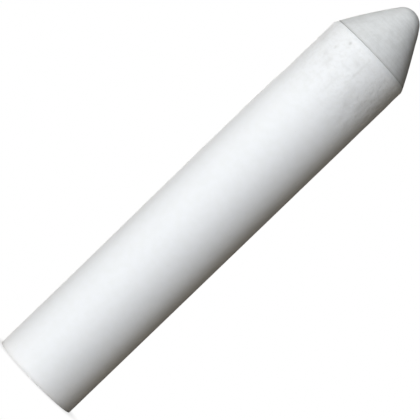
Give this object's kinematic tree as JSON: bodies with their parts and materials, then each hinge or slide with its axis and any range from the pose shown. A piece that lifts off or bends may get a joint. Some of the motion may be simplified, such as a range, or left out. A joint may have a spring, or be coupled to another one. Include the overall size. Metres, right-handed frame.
{
  "type": "blending stump",
  "caption": "short thick wound-paper drawing stump with a smooth white cover, a flat butt and one sanded, rounded conical point for blending charcoal, graphite and pastel",
  "frame": {"origin": "middle of the flat butt face", "axes": "+Z runs along the winding axis from the butt to the point; +Y is the back, where the lap of the cover runs; +X completes the right-handed frame"},
  "size_m": [0.0189, 0.019, 0.102],
  "materials": {
    "core_paper": "soft absorbent felted paper, sanded and matte",
    "cover_paper": "calendered white paper, satin",
    "paste": "dried starch paste, a thin clear-to-cream film"
  },
  "bodies": {
    "root": {"inner_core_sheet": "core_paper", "outer_core_sheet": "core_paper", "cover_sheet": "cover_paper", "inner_tail_paste": "paste", "outer_head_paste": "paste", "outer_tail_paste": "paste", "cover_head_paste": "paste", "cover_lap_paste": "paste"}
  },
  "joints": []
}
